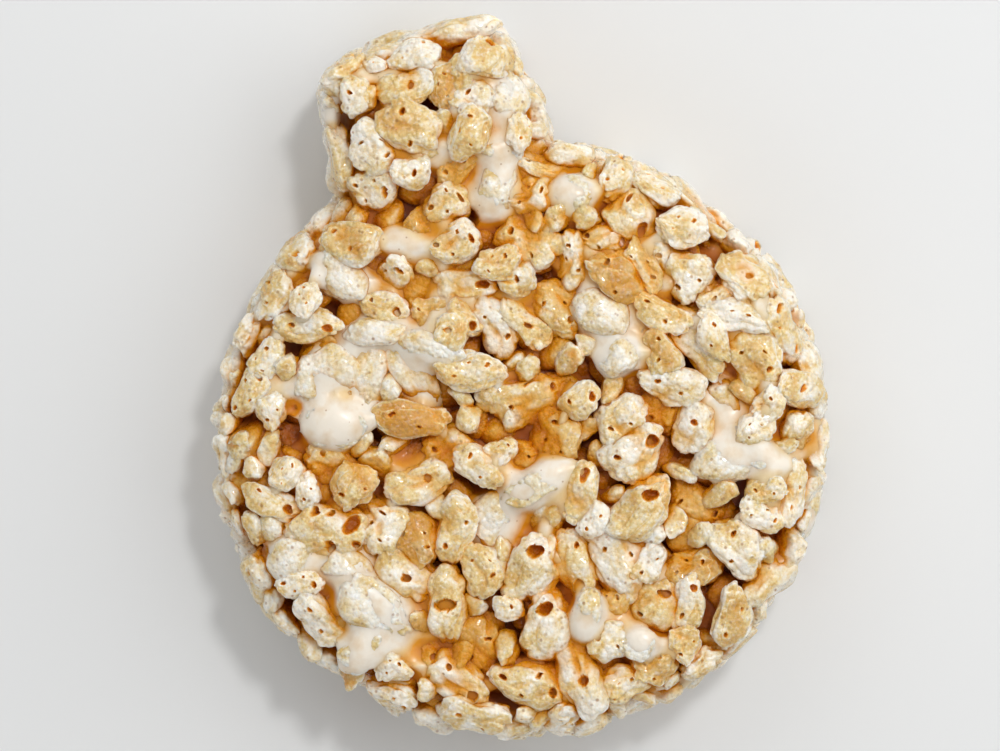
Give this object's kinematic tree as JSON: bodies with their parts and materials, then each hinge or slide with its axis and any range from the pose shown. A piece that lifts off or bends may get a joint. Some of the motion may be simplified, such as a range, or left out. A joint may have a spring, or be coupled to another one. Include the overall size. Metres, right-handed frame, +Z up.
{
  "type": "puffed rice treat",
  "caption": "Puffed rice and marshmallow treat cut as a round bauble with a short cap, rough with kernels, lying flat on its pressed underside.",
  "frame": {"origin": "bottom centre of the treat's box, on the surface it lies on", "axes": "+Y along the bauble from the ball to the cap, +X across it, +Z up through its thickness"},
  "size_m": [0.0702, 0.0812, 0.021],
  "materials": {
    "puffed_rice": "bubbled cream kernels bound with sticky white marshmallow, amber in the hollows"
  },
  "bodies": {
    "root": {"crispy_treat": "puffed_rice"}
  },
  "joints": []
}
